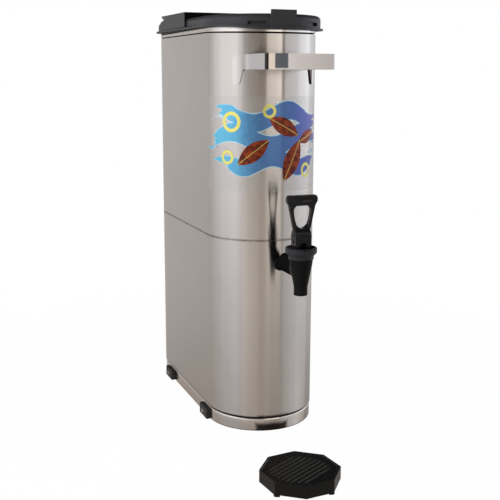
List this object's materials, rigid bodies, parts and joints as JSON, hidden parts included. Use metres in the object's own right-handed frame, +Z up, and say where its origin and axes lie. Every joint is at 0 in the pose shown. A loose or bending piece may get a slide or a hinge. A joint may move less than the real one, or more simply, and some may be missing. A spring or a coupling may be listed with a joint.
{
  "type": "iced tea dispenser",
  "caption": "Narrow steel iced tea urn on its own pedestal with a self-closing front tap, a carrying handle, a lift-off lid and a loose drip tray.",
  "frame": {"origin": "on the counter, under the middle of the stadium-shaped body", "axes": "+Z up; -Y is the front, where the tap and the handle are; +X is to the right seen from the front"},
  "size_m": [0.1704, 0.5729, 0.5651],
  "materials": {
    "wrap_steel": "vertical-drawn satin stainless steel",
    "band_steel": "satin stainless steel",
    "inner_steel": "plain stainless steel",
    "tank_steel": "satin stainless steel",
    "handle_steel": "fine satin stainless steel",
    "label_film": "printed film",
    "foot_rubber": "moulded rubber",
    "rivet_metal": "plain rivet",
    "lid_plastic": "moulded black plastic",
    "tap_plastic": "black moulded plastic",
    "bonnet_plastic": "black moulded plastic",
    "lever_plastic": "black moulded plastic",
    "gasket_rubber": "black rubber",
    "nut_plastic": "black moulded plastic",
    "silicone": "clear-white silicone",
    "stem_plastic": "black moulded plastic",
    "spring_steel": "bright stainless wire",
    "tray_plastic": "black moulded plastic"
  },
  "bodies": {
    "dispenser": {"lower_shell": "wrap_steel", "upper_shell": "wrap_steel", "joining_ring": "inner_steel", "base_pan": "band_steel", "tank": "tank_steel", "foot_front_left": "foot_rubber", "foot_front_right": "foot_rubber", "foot_rear_left": "foot_rubber", "foot_rear_right": "foot_rubber", "foot_rivets": "rivet_metal", "front_handle": "handle_steel", "front_label": "label_film", "tap_body": "tap_plastic", "tap_bonnet": "bonnet_plastic", "outer_gasket": "gasket_rubber", "inner_gasket": "gasket_rubber", "shank_nut": "nut_plastic", "tap_spring": "spring_steel"},
    "lid": {"lid": "lid_plastic"},
    "valve": {"seat_cup": "silicone", "tap_stem": "stem_plastic", "spring_washer": "spring_steel", "handle_pin": "spring_steel"},
    "tap_lever": {"tap_handle": "lever_plastic"},
    "tray": {"tray_cup": "tray_plastic"},
    "grille": {"tray_grille": "tray_plastic"}
  },
  "joints": [
    {"name": "lid_lift", "type": "slide", "parent": "dispenser", "child": "lid", "axis": [0, 0, 1], "range_m": [0, 0.16]},
    {"name": "stem_lift", "type": "slide", "parent": "dispenser", "child": "valve", "axis": [0, 0, 1], "range_m": [0, 0.004], "deforming": ["tap_spring"]},
    {"name": "handle_tilt", "type": "hinge", "parent": "valve", "child": "tap_lever", "pos_m": [0, -0.2485, 0.2775], "axis": [1, 0, 0], "range_deg": [0, 35], "stiffness_Nm_per_rad": 0.7, "springref_deg": -14.32},
    {"name": "tray_slide", "type": "slide", "parent": "dispenser", "child": "tray", "axis": [0.3894, 0.9211, 0], "range_m": [0, 0.0963]},
    {"name": "grille_lift", "type": "slide", "parent": "tray", "child": "grille", "axis": [0, 0, 1], "range_m": [0, 0.04]}
  ],
  "couplings": [
    {"joint": "handle_tilt", "follows": "stem_lift", "rad_per_m": 152.7}
  ]
}
